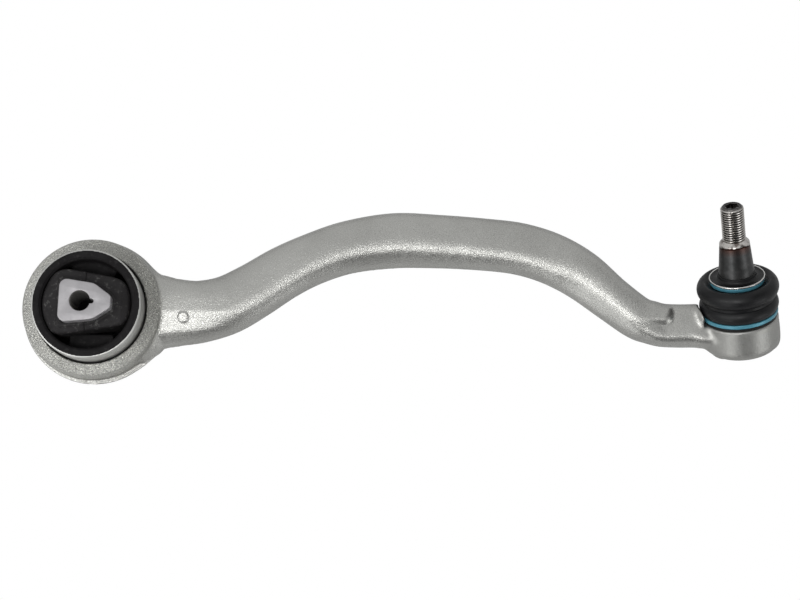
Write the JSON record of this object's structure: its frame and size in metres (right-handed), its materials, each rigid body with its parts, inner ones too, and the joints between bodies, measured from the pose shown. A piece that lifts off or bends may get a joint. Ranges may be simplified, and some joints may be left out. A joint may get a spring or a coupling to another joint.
{
  "type": "suspension control arm",
  "caption": "Forged light-alloy suspension control arm with a double bend, a pressed-in rubber bush in the eye at one end and an angled, booted ball joint with threaded stud at the other.",
  "frame": {"origin": "middle of the bolt bore through the bush's inner core", "axes": "+Z along the bush bore, out of the face the sleeve stands proud of; +X from the bore to the centre of the ball, so the arm lies flat in the XY plane; +Y to the side the ball stud leans towards"},
  "size_m": [0.4669, 0.1091, 0.0779],
  "materials": {
    "forged_alloy": "sand-blasted, fine sparkling grain",
    "core_alloy": "satin, sawn and machined end face",
    "sleeve_steel": "satin",
    "hidden_steel": "satin",
    "stud_steel": "bright thread and shoulder, dark phosphated taper",
    "bush_rubber": "matt, scuffed moulding skin",
    "boot_rubber": "satin",
    "channel_plastic": "matt",
    "seat_plastic": "smooth",
    "clamp_teal": "satin"
  },
  "bodies": {
    "arm": {"arm_forging": "forged_alloy", "bush_outer_sleeve": "sleeve_steel", "bush_window_cage": "hidden_steel", "bush_channel_ring_upper": "channel_plastic", "bush_channel_ring_lower": "channel_plastic", "bush_stop_upper": "channel_plastic", "bush_stop_lower": "channel_plastic", "ball_seat": "seat_plastic", "seat_preload_ring": "bush_rubber", "cover_plate": "hidden_steel"},
    "bush_core": {"bush_inner_core": "core_alloy", "bush_rubber": "bush_rubber"},
    "boot_base": {"lower_clamp_ring": "clamp_teal", "dust_boot": "boot_rubber"},
    "stud_collar": {"upper_clamp_ring": "clamp_teal"},
    "stud": {"ball_stud": "stud_steel", "stud_seal_ring": "boot_rubber", "stud_seal_rim": "sleeve_steel"}
  },
  "joints": [
    {"name": "bush_twist", "type": "hinge", "parent": "arm", "child": "bush_core", "pos_m": [0, 0, 0], "axis": [0, 0, 1], "range_deg": [-15, 15], "stiffness_Nm_per_rad": 70, "deforming": ["bush_rubber"]},
    {"name": "swing_direction", "type": "hinge", "parent": "arm", "child": "boot_base", "pos_m": [0.4, 0, -0.008], "axis": [-0.1563, 0.8041, 0.5736], "continuous": true},
    {"name": "stud_tilt", "type": "hinge", "parent": "boot_base", "child": "stud_collar", "pos_m": [0.4, 0, -0.008], "axis": [-0.9816, -0.1908, 0], "range_deg": [-20, 20], "deforming": ["dust_boot"]},
    {"name": "stud_spin", "type": "hinge", "parent": "stud_collar", "child": "stud", "pos_m": [0.4, 0, -0.008], "axis": [-0.1563, 0.8041, 0.5736], "continuous": true}
  ]
}
